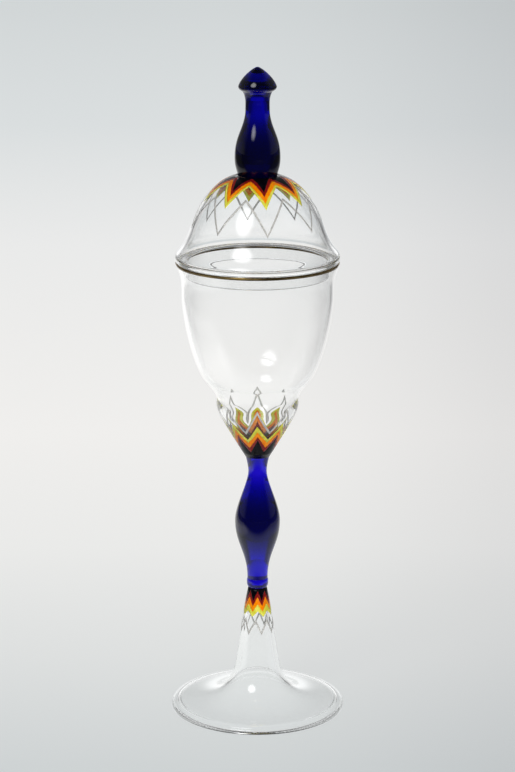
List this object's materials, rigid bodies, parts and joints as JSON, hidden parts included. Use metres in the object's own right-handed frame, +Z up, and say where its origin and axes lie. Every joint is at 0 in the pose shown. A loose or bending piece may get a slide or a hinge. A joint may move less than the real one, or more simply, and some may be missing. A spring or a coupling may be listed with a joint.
{
  "type": "lidded goblet",
  "caption": "Tall lidded pokal goblet of clear glass with a blue baluster stem and finial, zigzag enamel bands and a gilded lip; the lid lifts off and turns.",
  "frame": {"origin": "on the table, under the middle of the foot", "axes": "+Z up along the goblet's axis; -Y is the side that the picture shows, +X to its right"},
  "size_m": [0.0854, 0.0854, 0.3182],
  "materials": {
    "clear_glass": "clear, fire-polished",
    "blue_glass": "deep cobalt blue, fire-polished",
    "gilding": "burnished gold, slightly worn",
    "enamel_black": "glossy fired enamel",
    "enamel_red": "glossy fired enamel",
    "enamel_orange": "glossy fired enamel",
    "enamel_yellow": "glossy fired enamel",
    "enamel_silver": "satin silver-grey enamel"
  },
  "bodies": {
    "goblet": {"foot": "clear_glass", "lower_knop": "blue_glass", "stem": "blue_glass", "bowl": "clear_glass", "bowl_gilt_lip": "gilding", "foot_enamel_black": "enamel_black", "foot_enamel_red": "enamel_red", "foot_enamel_orange": "enamel_orange", "foot_enamel_yellow": "enamel_yellow", "foot_enamel_silver": "enamel_silver", "bowl_enamel_black": "enamel_black", "bowl_enamel_red": "enamel_red", "bowl_enamel_orange": "enamel_orange", "bowl_enamel_yellow": "enamel_yellow", "bowl_enamel_silver": "enamel_silver"},
    "collar": {"lid_collar": "clear_glass"},
    "lid": {"lid_dome": "clear_glass", "finial": "blue_glass", "finial_cap": "blue_glass", "lid_enamel_black": "enamel_black", "lid_enamel_red": "enamel_red", "lid_enamel_orange": "enamel_orange", "lid_enamel_yellow": "enamel_yellow", "lid_enamel_silver": "enamel_silver"}
  },
  "joints": [
    {"name": "lid_lift", "type": "slide", "parent": "goblet", "child": "collar", "axis": [0, 0, 1], "range_m": [0, 0.12]},
    {"name": "lid_turn", "type": "hinge", "parent": "collar", "child": "lid", "pos_m": [0, 0, 0.2252], "axis": [0, 0, 1], "continuous": true}
  ]
}
